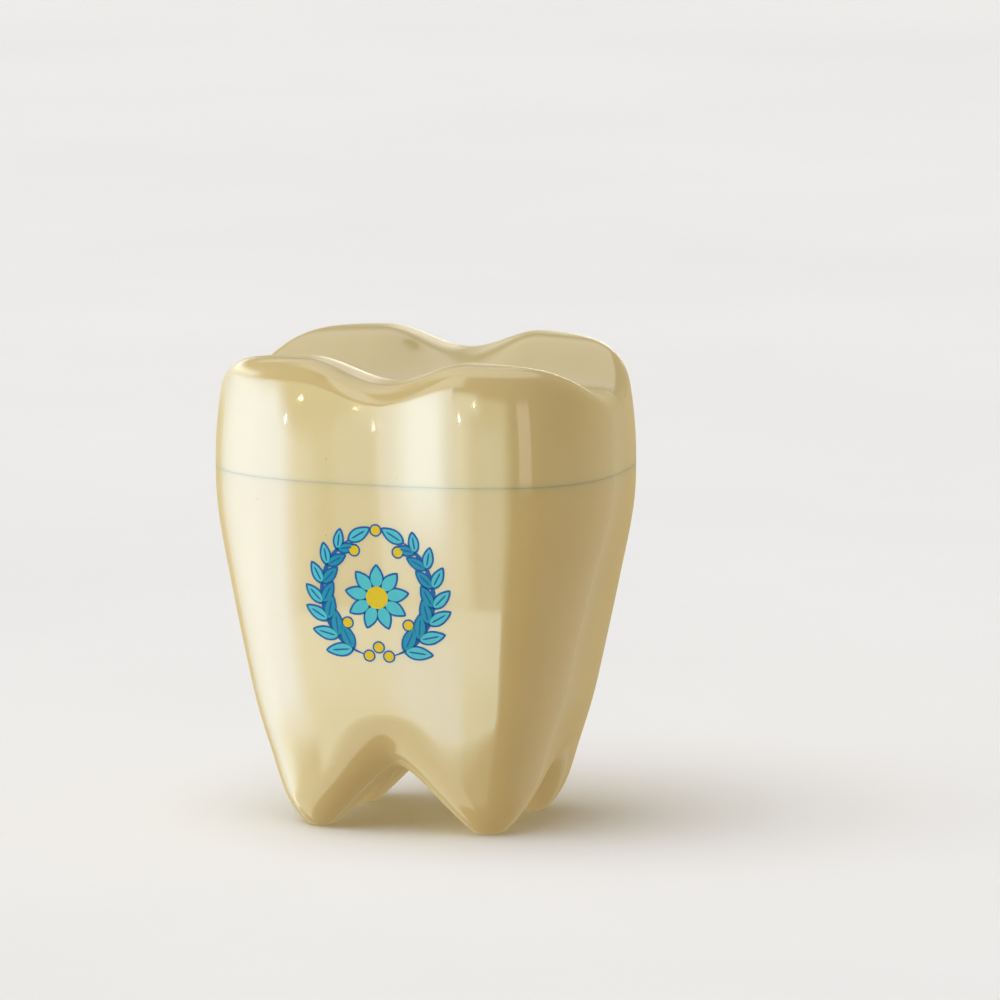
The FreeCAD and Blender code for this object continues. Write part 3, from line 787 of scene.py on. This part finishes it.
soft = wt.nodes["Background"]
level = wt.nodes.new("ShaderNodeMapRange")
wt.links.new(height, level.inputs["Value"])
level.inputs["From Min"].default_value, level.inputs["From Max"].default_value = -75.0, 75.0
bands = ramp(wt, level.outputs["Result"], [(0.0, (0.70, 0.52, 0.27)), (0.20, (0.85, 0.68, 0.42)), (0.34, (1.28, 1.16, 0.97)),
                                          (0.47, (1.65, 1.52, 1.34)), (0.58, (1.0, 0.92, 0.80)), (0.78, (0.88, 0.80, 0.70)),
                                          (1.0, (1.7, 1.62, 1.5))])
aim_left = wt.nodes.new("ShaderNodeVectorMath")
aim_left.operation = "DOT_PRODUCT"
aim_left.inputs[1].default_value = (-0.80, -0.60, 0.0)
wt.links.new(way.inputs["Vector"].links[0].from_socket, aim_left.inputs[0])
aim_right = wt.nodes.new("ShaderNodeVectorMath")
aim_right.operation = "DOT_PRODUCT"
aim_right.inputs[1].default_value = (0.92, -0.39, 0.0)
wt.links.new(way.inputs["Vector"].links[0].from_socket, aim_right.inputs[0])
wt.links.new(mix(wt, rise(aim_right.outputs["Value"], 0.0, 0.9), bands, (0.89, 0.79, 0.62), "MULTIPLY"), soft.inputs["Color"])
wt.links.new(rise(aim_left.outputs["Value"], -1.0, 1.0, 0.40, 0.50), soft.inputs["Strength"])
mirror = wt.nodes.new("ShaderNodeBackground")
wt.links.new(studio, mirror.inputs["Color"])
choose = wt.nodes.new("ShaderNodeMixShader")
wt.links.new(wt.nodes.new("ShaderNodeLightPath").outputs["Is Glossy Ray"], choose.inputs["Fac"])
wt.links.new(soft.outputs["Background"], choose.inputs[1])
wt.links.new(mirror.outputs["Background"], choose.inputs[2])
backdrop = wt.nodes.new("ShaderNodeBackground")
backdrop.inputs["Color"].default_value = (0.74, 0.74, 0.74, 1.0)
seen = wt.nodes.new("ShaderNodeMixShader")
wt.links.new(choose.inputs["Fac"].links[0].from_node.outputs["Is Camera Ray"], seen.inputs["Fac"])
wt.links.new(choose.outputs["Shader"], seen.inputs[1])
wt.links.new(backdrop.outputs["Background"], seen.inputs[2])
wt.links.new(seen.outputs["Shader"], wt.nodes["World Output"].inputs["Surface"])


def turned(o, d):
    """Place o's matrix so that it shines along -d, upright."""
    x = Vector((0, 0, 1)).cross(d).normalized()
    y = d.cross(x)
    p = o.location
    o.matrix_world = Matrix(((x.x, y.x, d.x, p.x), (x.y, y.y, d.y, p.y), (x.z, y.z, d.z, p.z), (0, 0, 0, 1)))


def fill(name, az, el, distance, size, watts, colour):
    """Large soft light from an azimuth and height, without a mirror image of its own."""
    a, e = math.radians(az), math.radians(el)
    l = bpy.data.lights.new(name, "AREA")
    l.shape = "DISK"
    l.size = size
    l.energy = watts
    l.color = colour
    o = bpy.data.objects.new(name, l)
    scene.collection.objects.link(o)
    d = Vector((math.sin(a) * math.cos(e), -math.cos(a) * math.cos(e), math.sin(e)))
    o.location = FOOT + Vector((0, 0, 0.05)) + d * distance
    turned(o, d)
    o.visible_camera = False
    o.visible_glossy = False
    return o


fill("key", -40, 16, 1.2, 0.7, 3.9, (1.0, 0.92, 0.81))
fill("back_right", 150, 14, 1.3, 0.9, 4.4, (1.0, 0.98, 0.98))
fill("back_left", -150, 14, 1.3, 0.9, 3.6, (1.0, 0.98, 0.98))
fill("right_side", 122, 10, 1.3, 0.8, 1.1, (1.0, 0.97, 0.94))

on_part = bpy.data.collections.new("part_only")
for o in list(scene.objects):
    if o.type == "MESH" and o is not floor:
        on_part.objects.link(o)
for o in scene.objects:
    if o.type == "LIGHT":
        o.light_linking.receiver_collection = on_part
only_floor = bpy.data.collections.new("floor_only")
only_floor.objects.link(floor)
sun = bpy.data.lights.new("floor_light", "SUN")
sun.energy = 2.0
sun.color = (0.885, 0.925, 1.0)
sun.angle = math.radians(60)
sun_obj = bpy.data.objects.new("floor_light", sun)
scene.collection.objects.link(sun_obj)
sun_obj.location = (0, 0, 2)
sun_obj.rotation_euler = (math.radians(12), math.radians(-14), 0)
sun_obj.light_linking.receiver_collection = only_floor
